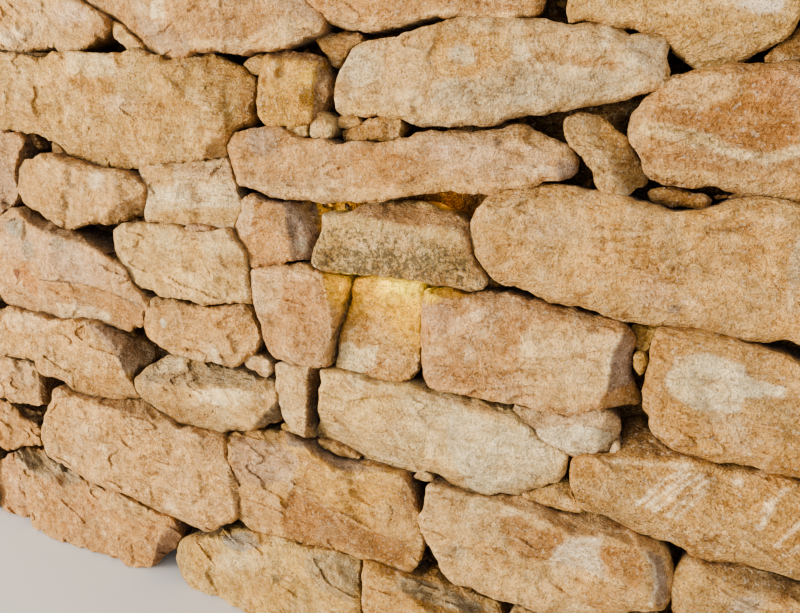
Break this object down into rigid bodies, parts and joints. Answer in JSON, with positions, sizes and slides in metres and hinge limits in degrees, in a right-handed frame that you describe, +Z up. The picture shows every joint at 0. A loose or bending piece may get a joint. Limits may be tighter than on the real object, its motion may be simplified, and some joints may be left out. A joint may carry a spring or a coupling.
{
  "type": "dry stone wall",
  "caption": "Free-standing length of dry stone wall in rough sandstone, with flat capstones and a hidden warm lamp over a small recessed stone.",
  "frame": {"origin": "centre of the wall's footprint, on the ground under it", "axes": "+X along the wall, +Y through the wall from the front face to the back, +Z up; the front face with the niche looks towards -Y"},
  "size_m": [2.4, 0.552, 1.288],
  "materials": {
    "sandstone": "rough",
    "cap_sandstone": "rough",
    "pinning_stone": "rough",
    "rubble": "rough",
    "lamp_metal": "matte",
    "lamp_lens": "frosted"
  },
  "bodies": {
    "root": {"front_course_1": "sandstone", "front_course_2": "sandstone", "front_course_3": "sandstone", "front_course_4": "sandstone", "front_course_5": "sandstone", "front_course_6": "sandstone", "front_course_7": "sandstone", "front_course_8": "sandstone", "front_pinnings": "pinning_stone", "back_course_1": "sandstone", "back_course_2": "sandstone", "back_course_3": "sandstone", "back_course_4": "sandstone", "back_course_5": "sandstone", "back_course_6": "sandstone", "back_course_7": "sandstone", "back_course_8": "sandstone", "back_pinnings": "pinning_stone", "left_end_quoins": "sandstone", "right_end_quoins": "sandstone", "hearting": "rubble", "capstones": "cap_sandstone", "niche_lintel": "sandstone", "niche_left_jamb": "sandstone", "niche_right_jamb": "sandstone", "niche_stone": "sandstone", "back_filler_stones": "sandstone", "lamp_housing": "lamp_metal", "lamp_lens": "lamp_lens", "lamp_bracket": "lamp_metal"}
  },
  "joints": []
}
